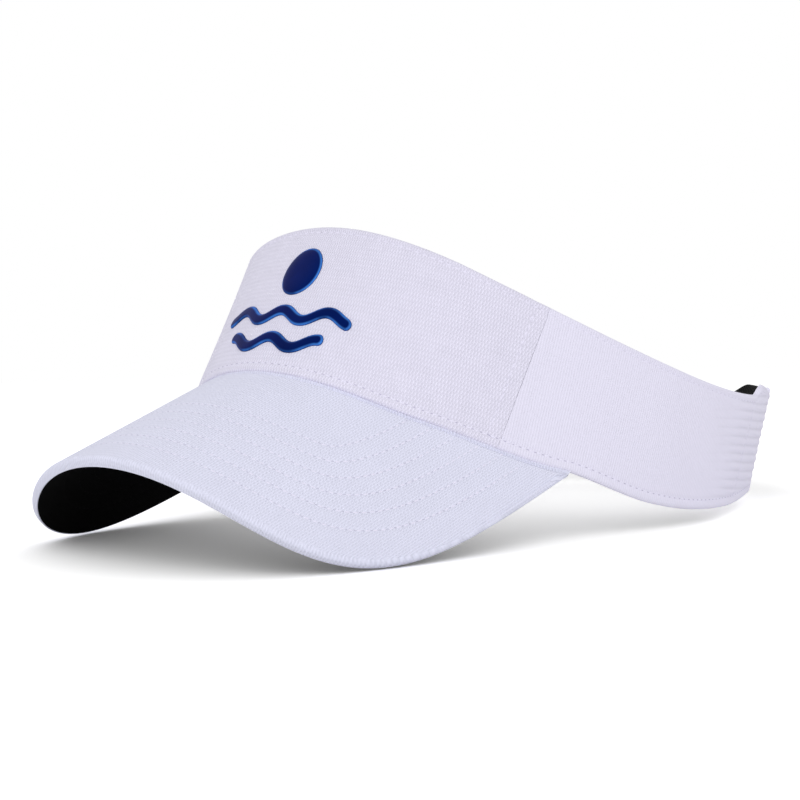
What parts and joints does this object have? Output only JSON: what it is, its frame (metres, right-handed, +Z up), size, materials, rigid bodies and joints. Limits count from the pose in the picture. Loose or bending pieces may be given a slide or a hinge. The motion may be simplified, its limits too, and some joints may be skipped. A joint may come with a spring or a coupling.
{
  "type": "sun visor",
  "caption": "White cloth sun visor with a structured open crown, an arched bill with a dark underside, a raised badge and a hook-and-loop back strap.",
  "frame": {"origin": "on the ground under the middle of the whole visor, as it stands on its bill and its rear panel corners", "axes": "+Z up, -Y towards the tip of the bill, +X towards the wearer's left"},
  "size_m": [0.168, 0.297, 0.1023],
  "materials": {
    "outer_cloth": "white ribbed knit, matte",
    "bill_cloth": "white ribbed knit, matte, rows of stitching",
    "under_cloth": "black plain weave, matte",
    "sweatband_cloth": "black brushed knit",
    "stiffener_cloth": "stiff open weave",
    "foam": "soft open-cell foam",
    "bill_board": "flexible moulded sheet",
    "strap_cloth": "black woven webbing",
    "hook_and_loop": "black hook-and-loop pile",
    "badge": "glossy dark blue, raised"
  },
  "bodies": {
    "crown": {"front_panel": "outer_cloth", "left_side_panel": "outer_cloth", "right_side_panel": "outer_cloth", "front_stiffener": "stiffener_cloth", "left_seam_tape": "outer_cloth", "right_seam_tape": "outer_cloth", "top_hem": "outer_cloth", "bill_seam_binding": "under_cloth", "sweatband_padding": "foam", "sweatband": "sweatband_cloth", "bill_top_cover": "bill_cloth", "bill_board": "bill_board", "bill_under_cover": "under_cloth", "left_strap_pocket": "outer_cloth", "loop_tongue": "strap_cloth", "loop_patch": "hook_and_loop", "badge_sun": "badge", "badge_upper_wave": "badge", "badge_lower_wave": "badge"},
    "strap": {"strap_anchor": "strap_cloth"},
    "tail": {"strap_tail": "strap_cloth", "hook_patch": "hook_and_loop"}
  },
  "joints": [
    {"name": "strap_adjust", "type": "hinge", "parent": "crown", "child": "strap", "pos_m": [0, 0.07393, 0.02614], "axis": [0, 0, 1], "range_deg": [-8, 8]},
    {"name": "tail_peel", "type": "hinge", "parent": "strap", "child": "tail", "pos_m": [0.03153, 0.14155, 0.02614], "axis": [0, 0, -1], "range_deg": [0, 75]}
  ]
}
